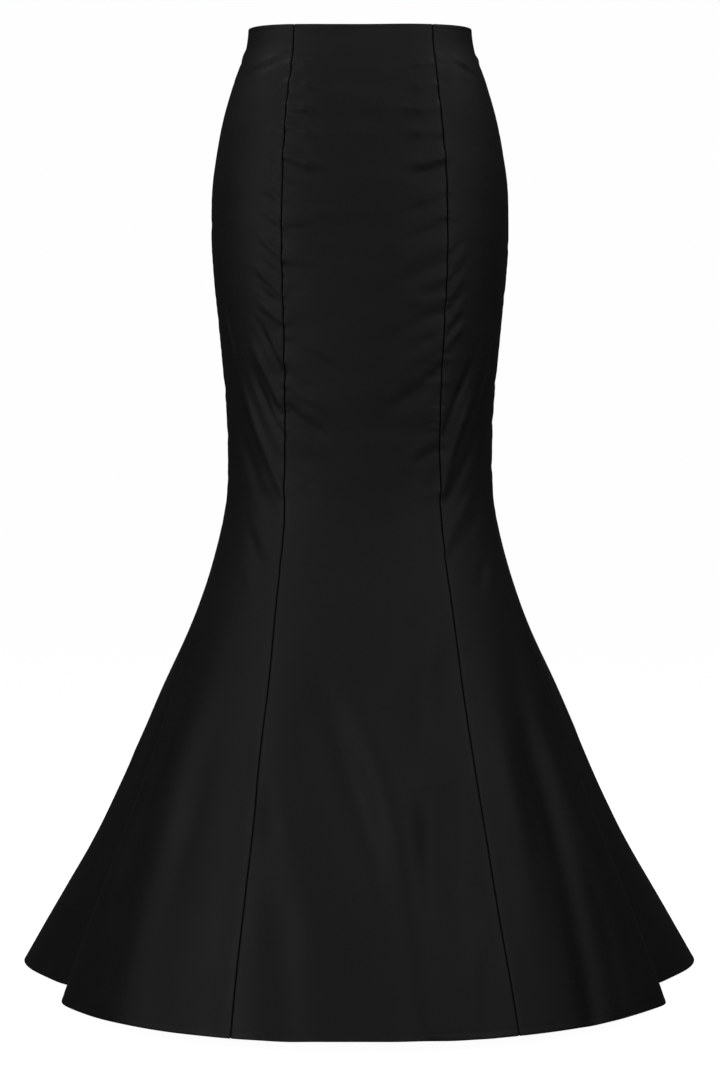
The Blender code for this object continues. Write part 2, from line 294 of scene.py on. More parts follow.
# Each table has a view, in degrees round from the front, where somebody stands to see its folds.
# Straight folds: across, drop, to_across and to_drop are a fold's ends, in millimetres right of the
# middle in that view and down from the waist. rise: outwards, in millimetres. width: half its width.
# bow: how far its middle hangs lower, if at all.
FOLDS = (
    (0, (
        # centre front, beside its left seam
        (-81, 148, -49, 153, -0.9, 6), (-80, 171, -19, 189, -1.1, 10), (-80, 236, -40, 239, -0.7, 7),
        (-80, 267, -57, 270, -0.4, 6), (-81, 306, -49, 305, -0.5, 7),
        # centre front, beside its right seam
        (92, 147, 65, 149, -0.5, 5), (94, 170, 48, 184, -1.6, 9), (96, 205, 35, 227, -1.6, 9),
        (94, 246, 16, 279, -1.1, 14), (94, 298, 57, 313, -1.0, 9),
        # centre front from the thigh to the knee, left
        (-80, 398, -44, 421, -1.0, 8), (-80, 437, -29, 466, -1.2, 10), (-29, 466, -6, 476, -0.5, 12),
        (-77, 508, -38, 525, -1.4, 11), (-38, 525, 46, 559, -1.0, 14), (-80, 364, -29, 374, -0.5, 14),
        # and right
        (88, 390, 65, 406, -0.9, 8), (65, 406, 31, 440, -0.5, 12), (87, 478, 48, 497, -1.4, 8),
        (86, 455, 72, 465, -0.7, 6), (87, 517, 63, 519, -0.6, 7), (92, 302, 48, 318, -1.0, 9),
        (87, 558, 46, 562, -0.6, 9), (87, 353, 65, 365, -0.5, 7),
    )),
    (60, (
        # side fronts, beside the side seams
        (80, 246, 54, 250, -0.6, 6), (80, 300, 50, 310, -0.7, 6), (78, 395, 46, 410, -1.1, 7),
        (75, 440, 36, 462, -1.4, 8), (74, 492, 44, 504, -1.0, 7),
    )),
    (-60, (
        (-80, 221, -50, 228, -0.7, 6), (-79, 327, -55, 335, -0.6, 6), (-76, 402, -44, 416, -1.2, 7),
        (-73, 455, -38, 476, -1.1, 8), (-72, 508, -45, 519, -1.0, 7),
    )),
    (130, (
        # side back right, dragged down to its back seam
        (-86, 34, -50, 58, 2.2, 6), (-80, 46, -56, 70, -0.6, 7), (-10, 140, 26, 172, -1.1, 5),
        (-6, 196, 28, 232, -0.5, 5), (-16, 238, 29, 283, 0.5, 5), (-4, 262, 28, 300, -0.4, 5),
        (-22, 292, 27, 342, 0.6, 6), (-8, 316, 26, 358, -0.5, 5), (-34, 338, 24, 408, -1.1, 8, 4),
        (-44, 346, 23, 432, 0.9, 8, 5), (-52, 372, 21, 476, -1.1, 9, 6), (-70, 388, 19, 520, 1.2, 10, 8),
        (-84, 392, 18, 548, -1.1, 9, 10), (-58, 540, 14, 600, 1.7, 9), (-76, 548, 0, 612, -1.9, 9),
        (-98, 420, -62, 434, -1.1, 7), (-94, 470, -58, 486, -1.2, 8), (-95, 512, -66, 522, -0.9, 7),
    )),
    (-130, (
        # side back left
        (88, 30, 52, 52, 2.0, 6), (82, 44, 58, 64, -1.4, 7), (12, 128, -24, 158, -1.0, 5),
        (8, 181, -28, 214, -0.4, 5), (18, 251, -28, 297, 0.5, 5), (7, 281, -27, 316, -0.5, 5),
        (24, 305, -26, 356, 0.6, 6), (12, 333, -24, 374, -0.4, 5), (38, 351, -22, 424, -1.1, 8, 4),
        (46, 362, -21, 448, 0.9, 8, 5), (60, 381, -20, 492, -1.2, 9, 7), (66, 404, -18, 530, 1.1, 10, 8),
        (88, 402, -17, 556, -0.9, 9, 10), (54, 551, -16, 604, 1.9, 9), (70, 560, 2, 618, -1.8, 9),
        (97, 408, 64, 420, -1.0, 7), (94, 446, 52, 466, -1.4, 8), (95, 497, 62, 511, -1.1, 7),
    )),
    (180, (
        # centre back right
        (-112, 30, -84, 52, 1.9, 6), (-80, 60, -50, 64, -1.2, 6), (-85, 97, -46, 104, -1.0, 6),
        (-90, 133, -58, 139, -0.9, 5), (-93, 178, -44, 194, -1.2, 8), (-93, 229, -60, 238, -0.7, 6),
        (-92, 262, -36, 292, -1.4, 10), (-88, 312, -24, 356, -1.9, 12, 6),
        (-87, 336, -40, 378, 1.4, 9, 4), (-85, 369, -30, 408, -1.7, 10, 5), (-83, 417, -46, 437, -1.1, 8),
        (-83, 458, -30, 486, -1.4, 9), (-83, 503, -52, 517, -1.0, 8), (-24, 356, 16, 372, -1.0, 12),
        # centre back left
        (116, 26, 86, 44, 1.6, 6), (82, 73, 58, 76, -0.9, 6), (88, 112, 52, 119, -1.1, 6),
        (93, 157, 62, 164, -1.0, 6), (95, 203, 40, 221, -1.4, 9), (93, 247, 66, 256, -0.7, 6),
        (90, 294, 30, 331, -1.7, 11, 5), (88, 330, 20, 379, -2.2, 12, 6), (86, 352, 46, 386, 1.4, 8),
        (84, 389, 38, 424, -1.4, 10), (83, 436, 52, 450, -0.9, 7), (83, 474, 34, 503, -1.2, 10),
        (85, 522, 56, 533, -1.0, 8),
    )),
)
# Folds that turn as they go: rise, width, and then across and drop of each stop along them.
LONG_FOLDS = (
    (0, (
        # below the waist, at the sides
        (1.7, 5, -131, 60, -116, 53, -100, 46, -86, 42), (-1.4, 5, -116, 62, -100, 54, -85, 48),
        (1.5, 5, 96, 41, 113, 48, 132, 58), (-1.3, 5, 101, 50, 116, 57, 131, 66),
        # below the waist, soft and short, from the seams into the centre front
        (2.7, 7, -76, 55, -48, 60), (3.5, 8, -77, 78, -40, 86), (3.5, 8, -79, 103, -42, 108),
        (3.8, 9, -80, 124, -38, 141), (3.5, 10, -82, 158, -30, 176), (2.3, 7, 77, 54, 50, 58),
        (2.4, 8, 80, 79, 46, 82), (2.6, 8, 83, 103, 40, 108), (2.6, 9, 86, 130, 42, 134),
        (3.1, 11, 88, 160, 40, 172),
        # soft diagonals across the centre front
        (-1.4, 9, 94, 232, 62, 247, 28, 258), (1.1, 9, 94, 251, 60, 268, 20, 286),
        (-1.5, 10, 93, 275, 58, 290, 8, 315), (1.1, 9, 93, 296, 60, 314, 22, 334),
        (-1.4, 10, 92, 326, 62, 342, 18, 365), (1.1, 10, 90, 358, 56, 382, 10, 415),
        (-1.4, 11, 89, 392, 52, 423, 4, 461), (-1.6, 8, -79, 182, -48, 193, -4, 206),
        (1.4, 9, -80, 214, -42, 220, -2, 230), (-1.4, 8, -80, 240, -46, 246, -10, 254),
        (1.6, 9, -80, 268, -38, 276, 4, 288), (-1.6, 10, -80, 365, -44, 382, -8, 407),
        (1.6, 9, -80, 405, -46, 426, -16, 451), (-2.0, 10, -80, 434, -48, 461, -14, 479),
        (1.6, 10, -79, 514, -40, 536, 6, 555), (0.9, 10, 88, 453, 58, 485, 30, 518),
        (-1.2, 11, 88, 534, 40, 555, -10, 567),
        # side front left, dragged down to its seam
        (1.0, 5, -107, 148, -84, 170), (1.2, 5, -110, 188, -84, 208),
        (1.2, 5, -112, 212, -96, 224, -83, 236), (1.4, 5, -118, 235, -100, 254, -83, 271),
        (-1.0, 4, -106, 246, -83, 259), (1.7, 5, -121, 270, -104, 289, -83, 310),
        (-1.2, 4, -112, 264, -96, 282, -83, 292), (1.5, 5, -116, 311, -101, 325, -83, 340),
        (-1.4, 4, -116, 294, -98, 312, -83, 325), (1.2, 5, -113, 333, -98, 356, -83, 382),
        (-1.5, 5, -124, 323, -108, 343, -96, 369, -83, 399),
        (1.8, 6, -128, 339, -113, 374, -99, 403, -83, 433),
        (-1.9, 6, -130, 358, -112, 405, -98, 437, -83, 465), (-1.0, 4, -104, 405, -92, 431, -83, 449),
        (2.4, 7, -144, 362, -129, 409, -115, 452, -101, 487, -84, 526),
        (-1.7, 10, -142, 405, -128, 467, -110, 521, -86, 561), (1.6, 8, -128, 544, -107, 577, -86, 605),
        (-1.7, 6, -133, 539, -114, 586, -97, 618), (1.2, 8, -134, 588, -122, 617, -112, 653),
        (1.4, 4, -158, 251, -150, 318, -140, 370, -133, 414),
        # side front right
        (0.8, 5, 121, 257, 98, 279), (-0.8, 4, 117, 246, 98, 266), (1.0, 5, 116, 286, 97, 310),
        (-0.9, 4, 118, 274, 97, 294), (1.0, 5, 115, 317, 95, 340), (-1.0, 4, 118, 300, 96, 326),
        (1.0, 5, 117, 335, 94, 367), (-1.0, 4, 114, 329, 95, 354),
        (-2.2, 6, 136, 345, 118, 394, 104, 427, 92, 461),
        (2.3, 7, 141, 358, 125, 411, 110, 453, 97, 492, 90, 523),
        (-1.7, 8, 142, 418, 122, 478, 106, 513, 92, 541), (1.8, 6, 138, 496, 119, 534, 104, 559, 92, 586),
        (-1.7, 6, 141, 525, 121, 565, 96, 595), (-1.3, 7, 150, 575, 136, 609, 123, 646),
        (1.2, 8, 146, 599, 138, 635), (1.0, 4, 154, 328, 146, 368, 134, 422, 126, 454),
        # front of the flare, from the left to the right
        (-3.5, 22, -158, 638, -196, 767, -247, 920, -284, 1084),
        (6.5, 42, -136, 628, -165, 748, -204, 879, -233, 987, -250, 1084),
        (-2.4, 20, -112, 852, -128, 960, -140, 1084), (-5.5, 25, -86, 868, -79, 996, -75, 1084),
        (6.5, 30, -104, 708, -88, 824, -62, 942, -46, 1084),
        (-12.0, 29, -54, 653, -42, 748, -15, 828, 14, 926, 38, 1084),
        (6.5, 26, -18, 678, 10, 767, 42, 879, 58, 987, 66, 1084), (-3.6, 18, 74, 599, 50, 673, 20, 757),
        (3.4, 20, 84, 640, 70, 708, 60, 824), (-7.0, 28, 96, 690, 82, 835, 76, 933, 72, 1084),
        (2.2, 20, 106, 824, 96, 915, 92, 1084), (-2.2, 14, 134, 969, 130, 1022, 132, 1084),
        (6.0, 32, 132, 638, 150, 767, 172, 897, 192, 1084),
        (-7.5, 21, 150, 612, 178, 767, 214, 897, 234, 1004, 246, 1084),
        (3.6, 18, 176, 688, 203, 797, 243, 897, 274, 991, 290, 1084),
    )),
    (60, (
        # sides
        (-3.4, 24, -20, 640, -34, 780, -52, 920, -66, 1084), (2.2, 27, 8, 680, 6, 820, -4, 1084),
    )),
    (-60, (
        (-3.1, 24, 30, 650, 38, 800, 60, 940, 72, 1084), (1.9, 27, -4, 700, -8, 860, 2, 1084),
    )),
    (105, (
        (-3.7, 27, 40, 640, 70, 800, 96, 940, 118, 1084), (2.5, 24, 10, 660, 18, 800, 22, 1084),
    )),
    (-105, (
        (-4.0, 27, -44, 630, -66, 780, -100, 930, -124, 1084), (2.2, 24, -8, 680, -20, 830, -26, 1084),
    )),
    (135, (
        (-3.1, 24, -56, 640, -78, 780, -104, 920, -126, 1084), (2.2, 27, -18, 700, -30, 880, -36, 1084),
    )),
    (-135, (
        (-3.4, 24, 52, 650, 80, 800, 98, 930, 118, 1084), (2.5, 27, 14, 690, 24, 860, 40, 1084),
    )),
    (180, (
        # back
        (-3.7, 27, -62, 630, -56, 760, -64, 900, -82, 1084),
        (2.8, 30, -28, 660, -22, 820, -26, 960, -36, 1084), (-4.0, 27, 46, 640, 54, 780, 74, 920, 88, 1084),
        (2.2, 24, 24, 700, 26, 850, 40, 1084), (-2.5, 22, -128, 700, -152, 840, -176, 980, -188, 1084),
        (-2.8, 22, 136, 690, 160, 840, 186, 980, 204, 1084),
    )),
)
HEM_TOP = -1.070        # the tube's hem lies below this height, in metres
FOLD_STEPS = 8          # places taken along each stretch of a fold
FOLD_REACH = 2.4        # a fold has faded at this many half widths
SHOULDER = 0.7          # how much the cloth beside a fold goes the other way
FADING = 0.6            # share of a fold's length in which it comes up to its full depth
HELD = 9                # a fold that ends as near a seam as this, in millimetres, is held by it
HELD_SHARE = 0.65       # and so much of its depth is left there
SEAM_PUCKERS = 10.5     # millimetres between the small puckers of a seam, on average
FIRST_PUCKER, LAST_PUCKER = 30.0, 590       # their drops
ZIPPED = (3, 4)         # the gores whose seam the zip holds flat
ZIPPED_PUCKER = 225.0   # and the drop of the first pucker there
UNEVEN = 0.12           # the cloth's own unevenness, in millimetres
PULLED = 1.5            # and how unevenly it is pulled across front and back, down to the knee


def seen_from(view, across, drop):
    """The place on the cloth, and its normal, that somebody sees across and down from the waist."""
    angle = math.radians(view)
    right = Vector((math.cos(angle), math.sin(angle), 0))
    ahead = Vector((-math.sin(angle), math.cos(angle), 0))
    start = right * across * MM + Vector((0, 0, -drop * MM)) - ahead
    place, normal, _, _ = surface.ray_cast(start, ahead)
    return place, normal


def along_cloth(view, stops, bow=0):
    """Places and normals on the cloth, from stop to stop as seen in a view."""
    line, normals = [], []
    for (across, drop), (to_across, to_drop) in zip(stops, stops[1:]):
        for step in range(FOLD_STEPS):
            share = step / (FOLD_STEPS - 1)
            sag = bow * 4 * share * (1 - share)
            place, normal = seen_from(
                view, across + (to_across - across) * share, drop + (to_drop - drop) * share + sag)
            if place is not None:
                line.append(place)
                normals.append(normal)
    return np.array(line), np.array(normals)


def eased(share):
    """A share from 0 to 1 that starts and ends gently."""
    share = np.clip(share, 0, 1)
    return share * share * (3 - 2 * share)


def faded(along, end):
    """How deep a fold still is towards one end: a seam or the hem holds it, and otherwise it fades."""
    held = held_places.find(end)[2] < HELD * MM
    return np.maximum(eased(along / FADING), HELD_SHARE if held else 0.0)


def press(line, normals, rise, width):
    """Adds a fold to how far each point of the cloth is lifted."""
    if len(line) < 2:
        return
    reach = FOLD_REACH * width * MM
    near = np.all((points > line.min(axis=0) - reach) & (points < line.max(axis=0) + reach), axis=1)
    near = np.nonzero(near)[0]
    nearest = np.full(len(near), 1.0)
    along = np.zeros(len(near))
    for i in range(len(line) - 1):
        run = line[i + 1] - line[i]
        share = np.clip((points[near] - line[i]) @ run / max(run @ run, 1e-12), 0, 1)
        away = np.linalg.norm(points[near] - line[i] - share[:, None] * run, axis=1)
        same_side = outward[near] @ normals[i] > 0.3
        closer = (away < nearest) & same_side
        nearest[closer] = away[closer]
        along[closer] = (i + share[closer]) / (len(line) - 1)
    fade = np.minimum(faded(along, line[0]), faded(1 - along, line[-1]))
    square = (nearest / (width * MM)) ** 2
    lift[near] += rise * MM * (1 - SHOULDER * square) * np.exp(-square) * fade


def seam_lines(mesh):
    """The seams' vertices from the waist down, by the numbers of the two gores that they join."""
    sides = {}
    for face in mesh.polygons:
        for corner in face.vertices:
            sides.setdefault(corner, set()).add(face.material_index)
    seams = {}
    for corner, gores in sides.items():
        if len(gores) == 2:
            seams.setdefault(tuple(sorted(gores)), []).append(mesh.vertices[corner].co)
    return {gores: sorted(line, key=lambda place: -place.z) for gores, line in seams.items()}


def small_puckers(line, start, rng):
    """Short, shallow, uneven puckers beside a seam, from a drop down to the flare."""
    made = []
    drop = start
    while drop < LAST_PUCKER:
        seam = min(line, key=lambda place: abs(place.z + drop * MM))
        view = math.degrees(math.atan2(seam.x, -seam.y))
        angle = math.radians(view)
        middle = (seam.x * math.cos(angle) + seam.y * math.sin(angle)) / MM
        for side in (-1, 1):
            long = rng.uniform(5, 17)
            if rng.random() < 0.85:
                made.append((
                    view, -rng.uniform(0.15, 0.42), rng.uniform(3, 4.2), (middle + side, drop),
                    (middle + side * long, drop + rng.uniform(-4, 7))))
        drop += SEAM_PUCKERS * rng.uniform(0.6, 1.5)
    return made


points = np.concatenate([grid[:, :, :3].reshape(-1, 3) for grid in grids])
outward = np.concatenate([grid[:, :, 3:6].reshape(-1, 3) for grid in grids])
lift = np.zeros(len(points))
seams = seam_lines(tube.data)
holding = [place for line in seams.values() for place in line]      # what keeps a fold from fading
holding += [vertex.co for vertex in tube.data.vertices if vertex.co.z < HEM_TOP]
held_places = KDTree(len(holding))
for i, place in enumerate(holding):
    held_places.insert(place, i)
held_places.balance()
for view, folds in FOLDS:
    for across, drop, to_across, to_drop, rise, width, *bow in folds:
        press(*along_cloth(view, ((across, drop), (to_across, to_drop)), *bow), rise, width)
for view, folds in LONG_FOLDS:
    for rise, width, *stops in folds:
        press(*along_cloth(view, tuple(zip(stops[::2], stops[1::2]))), rise, width)
chance = random.Random(7)
for gores, seam in seams.items():
    start = ZIPPED_PUCKER if gores == ZIPPED else FIRST_PUCKER
    for view, rise, width, *stops in small_puckers(seam, start, chance):
        press(*along_cloth(view, stops), rise, width)
for i, place in enumerate(points.tolist()):
    x, y, z = place
    own = noise.noise(Vector(place) * 22) * 1.6 + noise.noise(Vector(place) * 60) * 0.6
    pull = noise.noise(Vector((x * 13, y * 13, z * 42)))
    fitted = np.interp(-z, (0.46, 0.6), (1, 0)) * outward[i, 1] ** 4
    lift[i] += (UNEVEN * own + PULLED * fitted * pull) * MM
pressed = points + outward * lift[:, None]
for grid in grids:
    grid[:, :, :3] = pressed[:grid.shape[0] * grid.shape[1]].reshape(*grid.shape[:2], 3)
    pressed = pressed[grid.shape[0] * grid.shape[1]:]
for grid in grids:
    facing = np.cross(np.gradient(grid[:, :, :3], axis=0), np.gradient(grid[:, :, :3], axis=1))
    facing *= np.sign((facing * grid[:, :, 3:6]).sum(axis=2, keepdims=True))
    grid[:, :, 3:6] = facing / np.linalg.norm(facing, axis=2, keepdims=True)
for grid, beside in zip(grids, grids[1:] + grids[:1]):
    shared = grid[:, -1, 3:6] + beside[:, 0, 3:6]
    shared /= np.linalg.norm(shared, axis=1, keepdims=True)
    grid[:, -1, 3:6] = beside[:, 0, 3:6] = shared
bpy.data.objects.remove(tube)


# ------------------------ the gores, cut from the tube
# Seven panels of one cloth, cut with the grain down their middle. Each is rolled in at its seams,
# where the allowances are pressed open inside, and turned in at the waist and turned up at the hem.

CLOTH = 0.45            # thickness of the sateen, in millimetres, as all sizes here
# How the cloth turns at an edge: distance into the gore, depth behind its face, degrees turned.
SEAM_TURN = (
    (0.88, 0.12, 30), (0.60, 0.42, 60), (0.46, 0.85, 80),
    (-0.03, 1.3, 90), (0.4, 1.52, 150), (1.04, 1.56, 180),
)
EDGE_TURN = (
    (0.5, 0.11, 30), (0.14, 0.41, 60), (0, 0.82, 90),
    (0.14, 1.23, 120), (0.5, 1.53, 150), (1.0, 1.64, 180),
)
# The cloth turned in at an edge lies under these rows or columns, and ends under the last.
SEAM_FLAP, WAIST_FLAP, HEM_FLAP = (6, 12), (5.4, 12), (5, 10)
WAIST_STITCH, HEM_STITCH = 5.4, 7.6     # rows of stitches, from the waist and from the hem
STAND_OFF = 1.2         # the zip's neck holds the centre-back edges off the seam line by this
STAND_OFF_ENDS = (20, 33)               # down to this drop, and fading to that one
STAND_OFF_SPREAD = 12                   # and into the gore over this distance
SEAM_SHADE = (0.2, 0.7)                 # painted shade: how deep in a seam the cloth starts to be painted dark, and is fully dark


def away_from(edge_first, grid):
    """Distance of each grid point from the first row, or from the last, along its column."""
    steps = np.linalg.norm(np.diff(grid[:, :, :3], axis=0), axis=2)
    length = np.concatenate([np.zeros((1, grid.shape[1])), np.cumsum(steps, axis=0)])
    return (length if edge_first else length[-1] - length) / MM


def unit(vectors):
    """The vectors, each made one long."""
    return vectors / np.linalg.norm(vectors, axis=-1, keepdims=True)


def ridge(distance, middle, width):
    """A round ridge, one high."""
    return np.exp(-((distance - middle) / width) ** 2)


def relief(grid, from_left, from_right, from_waist, from_hem):
    """How far pressed seams, edges and rows of stitches stand out, in millimetres."""
    seam = np.minimum(from_left, from_right)
    made = 0.1 * ridge(seam, 5, 4)
    for edge, stitch in ((from_waist, WAIST_STITCH), (from_hem, HEM_STITCH)):
        made += 0.12 * ridge(edge, stitch * 0.45, 2.0) - 0.16 * ridge(edge, stitch, 0.8)
    return made


Line = namedtuple("Line", "base cut shift depth turn level")


def with_turned_edges(count, turn, near_start, start_flap, near_end, end_flap):
    """The rows or columns of a finished gore: flap, turn, the gore's own, turn and flap.

    base: the grid line that it starts from. cut: distance into the cloth from there when it is
    flat. shift and depth: how far it lies into the gore and behind its face. turn: the angle that
    the cloth has turned there. level: 0 on the face, 1 round the edge, 2 on the turned-in cloth."""
    def turned(edge, flap, near):
        made = []
        for into, behind, degrees in turn:
            level = 1 if degrees <= 90 else 2
            made.append(Line(
                edge, near[0] * (1 - degrees / 90), into, behind, math.radians(degrees), level))
        for far in flap:
            base = near.index(far) + 1
            made.append(Line(
                base if edge == 0 else count - 1 - base, -far, 0, turn[-1][1], math.pi, 2))
        return made

    own = [Line(base, 0, 0, 0, 0, 0) for base in range(1, count - 1)]
    return turned(0, start_flap, near_start)[::-1] + own + turned(count - 1, end_flap, near_end)


def inward_from(edge, normals, sign):
    """Directions in the cloth that lead in from an edge."""
    return sign * unit(np.cross(normals, np.gradient(edge, axis=0)))


def finished_gore(grid, opening):
    """The vertices, cut places and pressed marks of a gore with its edges turned in.

    opening: which of its edges, 0 or 1, the zip's neck holds off the seam line, if any."""
    lying, normals, cut = grid[:, :, :3], grid[:, :, 3:6], grid[:, :, 6:8]
    side = inward_from(lying[:, 0], normals[:, 0], 1), inward_from(lying[:, -1], normals[:, -1], -1)
    end = inward_from(lying[0], normals[0], -1), inward_from(lying[-1], normals[-1], 1)
    across = np.swapaxes(grid, 0, 1)
    from_left, from_right = away_from(True, across).T, away_from(False, across).T
    from_waist, from_hem = away_from(True, grid), away_from(False, grid)
    made = relief(grid, from_left, from_right, from_waist, from_hem)
    lying = lying + normals * made[:, :, None] * MM
    if opening is not None:
        away = (from_left, from_right)[opening]
        held = 1 - (from_waist - STAND_OFF_ENDS[0]) / (STAND_OFF_ENDS[1] - STAND_OFF_ENDS[0])
        push = STAND_OFF * MM * eased(held) * np.exp(-away / STAND_OFF_SPREAD)
        lying = lying + side[opening][:, None, :] * push[:, :, None]
    nearest = np.minimum(np.minimum(from_left, from_right), np.minimum(from_waist, from_hem))
    pressed = np.clip(1 - (nearest - 1) / 9, 0, 1)
    rows = with_turned_edges(len(grid), EDGE_TURN, BELOW_WAIST, WAIST_FLAP, ABOVE_HEM, HEM_FLAP)
    columns = with_turned_edges(grid.shape[1], SEAM_TURN, BESIDE_SEAM, SEAM_FLAP, BESIDE_SEAM, SEAM_FLAP)
    middle_row, middle_column = len(rows) // 2, len(columns) // 2
    base = np.ix_([row.base for row in rows], [column.base for column in columns])
    out = normals[base]
    lead = np.where(
        (np.arange(len(columns)) < middle_column)[None, :, None],
        side[0][base[0][:, 0]][:, None, :], side[1][base[0][:, 0]][:, None, :])
    rise = np.where(
        (np.arange(len(rows)) < middle_row)[:, None, None],
        end[0][base[1][0]][None, :, :], end[1][base[1][0]][None, :, :])
    shift_c, depth_c = np.array([(c.shift, c.depth) for c in columns]).T[:, None, :, None] * MM
    shift_r, depth_r = np.array([(row.shift, row.depth) for row in rows]).T[:, :, None, None] * MM
    turn_r = np.array([row.turn for row in rows])[:, None, None]
    behind = out * np.cos(turn_r) - rise * np.sin(turn_r)
    vertices = lying[base] + lead * shift_c + rise * shift_r - out * depth_r - behind * depth_c
    return vertices, cut_places(cut, rows, columns), pressed[base], rows, columns


def cut_places(cut, rows, columns):
    """Where each vertex of a finished gore lies in the flat cut, in metres."""
    def anchors(lines, count):
        return [line.base if line.level == 0 else (0 if i < len(lines) // 2 else count - 1)
                for i, line in enumerate(lines)]

    at_row, at_column = anchors(rows, len(cut)), anchors(columns, cut.shape[1])
    made = cut[np.ix_(at_row, at_column)].copy()
    into_row = np.where(np.arange(len(rows)) < len(rows) // 2, 1, -1) * [row.cut for row in rows]
    into_column = np.where(np.arange(len(columns)) < len(columns) // 2, 1, -1) * [c.cut for c in columns]
    made[:, :, 1] -= into_row[:, None] * MM
    made[:, :, 0] += into_column[None, :] * MM
    return made


def gore_mesh(name, vertices, cut, pressed, rows, columns):
    """The mesh of a gore's cloth, without the corners where two turned edges would meet."""
    faces = []
    wide = len(columns)
    for i in range(len(rows) - 1):
        row = max(rows[i].level, rows[i + 1].level)
        for j in range(wide - 1):
            column = max(columns[j].level, columns[j + 1].level)
            if column == 2 and row:
                continue
            corner = i * wide + j
            faces.append((corner, corner + wide, corner + wide + 1, corner + 1))
    mesh = bpy.data.meshes.new(name)
    mesh.from_pydata(vertices.reshape(-1, 3), [], faces)
    layer = mesh.uv_layers.new(name="cut")
    layer.data.foreach_set("uv", cut.reshape(-1, 2)[np.array(faces).ravel()].ravel())
    # painted shade of each column deep in a seam, from none to full
    painted_seam_shade = [np.interp(column.depth, SEAM_SHADE, (0, 1)) * (column.level == 1) for column in columns]
    for kind, values in (("pressed", pressed), ("painted_seam_shade", np.tile(painted_seam_shade, (len(rows), 1)))):
        mark = mesh.attributes.new(kind, "FLOAT", "POINT")
        mark.data.foreach_set("value", values.ravel())
    mesh.shade_smooth()
    return mesh


def thicken(sheet, thickness):
    """Gives a sheet its thickness, in millimetres, behind its face."""
    only(sheet)
    wall = sheet.modifiers.new("cloth", "SOLIDIFY")
    wall.thickness = thickness * MM
    wall.offset = -1
    bpy.ops.object.modifier_apply(modifier=wall.name)


stitch_lines = {"waist": [], "hem": []}     # places and normals along each gore, at the stitches
gore_objects = []
for node, grid in zip(GORES, grids):
    opening = {"centre_back_right": 1, "centre_back_left": 0}.get(node)
    vertices, cut, pressed, rows, columns = finished_gore(grid, opening)
    gore = placed(node + "_cloth", gore_mesh(node, vertices, cut, pressed, rows, columns))
    only(gore)
    bpy.ops.object.mode_set(mode="EDIT")
    bpy.ops.mesh.select_all(action="SELECT")
    bpy.ops.mesh.delete_loose()
    bpy.ops.object.mode_set(mode="OBJECT")
    thicken(gore, CLOTH)
    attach(gore, "skirt")
    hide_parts(node)
    own_columns = [i for i, column in enumerate(columns) if column.level == 0]
    hem_base = len(grid) - 2 - ABOVE_HEM.index(HEM_STITCH)
    for end, base in (("waist", BELOW_WAIST.index(WAIST_STITCH) + 1), ("hem", hem_base)):
        row = [i for i, line in enumerate(rows) if line.level == 0 and line.base == base][0]
        stitch_lines[end].append((vertices[row, own_columns], grid[base, 1:-1, 3:6]))
    gore_objects.append(gore)


def set_inputs(node, values):
    """Sets a node's inputs, by their names."""
    for name, value in values.items():
        node.inputs[name].default_value = value


def new_material(name):
    """A material, its nodes and links, and its shader."""
    made = bpy.data.materials.new(name)
    made.use_nodes = True
    nodes = made.node_tree.nodes
    return made, nodes, made.node_tree.links, nodes["Principled BSDF"]


